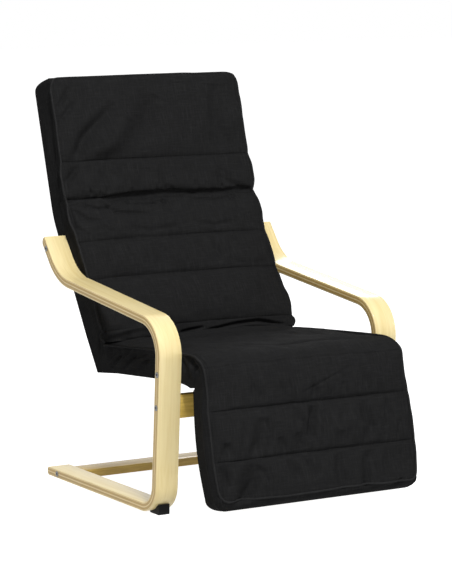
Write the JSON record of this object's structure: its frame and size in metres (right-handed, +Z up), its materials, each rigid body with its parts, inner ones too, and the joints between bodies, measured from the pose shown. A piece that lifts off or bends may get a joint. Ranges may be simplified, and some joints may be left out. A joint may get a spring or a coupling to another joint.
{
  "type": "deck recliner",
  "caption": "Lounge chair with bent laminated side frames, a slatted back and seat under a padded channelled cover, and a footrest hinged at the seat's front.",
  "frame": {"origin": "on the floor, under the middle of the overall box", "axes": "the sitter faces -Y, +X is the sitter's left, +Z is up"},
  "size_m": [0.6666, 0.9429, 0.9945],
  "materials": {
    "pale_laminate": "satin lacquer",
    "golden_laminate": "satin lacquer",
    "rail_wood": "plain",
    "slat_wood": "plain",
    "black_plastic": "matte",
    "zinc_steel": "zinc plated",
    "black_cloth": "woven cloth"
  },
  "bodies": {
    "frame": {"side_frame_left": "pale_laminate", "side_frame_right": "pale_laminate", "front_foot_left": "black_plastic", "front_foot_right": "black_plastic", "front_crossrail": "golden_laminate", "rear_crossrail": "golden_laminate", "seat_rail_left": "rail_wood", "seat_rail_right": "rail_wood", "back_rail_left": "rail_wood", "back_rail_right": "rail_wood", "seat_bar": "rail_wood", "back_top_bar": "rail_wood", "back_slat_1": "slat_wood", "back_slat_2": "slat_wood", "back_slat_3": "slat_wood", "back_slat_4": "slat_wood", "back_slat_5": "slat_wood", "back_slat_6": "slat_wood", "back_slat_7": "slat_wood", "back_slat_8": "slat_wood", "seat_slat_1": "slat_wood", "seat_slat_2": "slat_wood", "seat_slat_3": "slat_wood", "seat_slat_4": "slat_wood", "seat_slat_5": "slat_wood", "corner_plate_left": "zinc_steel", "corner_plate_right": "zinc_steel", "seat_leaf_left": "zinc_steel", "seat_leaf_right": "zinc_steel", "hinge_rivet_left": "zinc_steel", "hinge_rivet_right": "zinc_steel", "frame_bolts": "zinc_steel", "barrel_nuts": "zinc_steel", "crossrail_dowels": "slat_wood", "slat_screws": "zinc_steel", "plate_screws": "zinc_steel", "foot_screws": "zinc_steel", "back_cushion": "black_cloth", "seat_cushion": "black_cloth", "knee_fold": "black_cloth"},
    "footrest": {"footrest_rail_left": "rail_wood", "footrest_rail_right": "rail_wood", "footrest_bar": "rail_wood", "footrest_slat_1": "slat_wood", "footrest_slat_2": "slat_wood", "footrest_slat_3": "slat_wood", "footrest_leaf_left": "zinc_steel", "footrest_leaf_right": "zinc_steel", "footrest_slat_screws": "zinc_steel", "footrest_plate_screws": "zinc_steel", "footrest_cushion": "black_cloth"}
  },
  "joints": [
    {"name": "footrest_hinge", "type": "hinge", "parent": "frame", "child": "footrest", "pos_m": [0, -0.3371, 0.34552], "axis": [-1, 0, 0], "range_deg": [0, 75], "deforming": ["knee_fold"]}
  ]
}
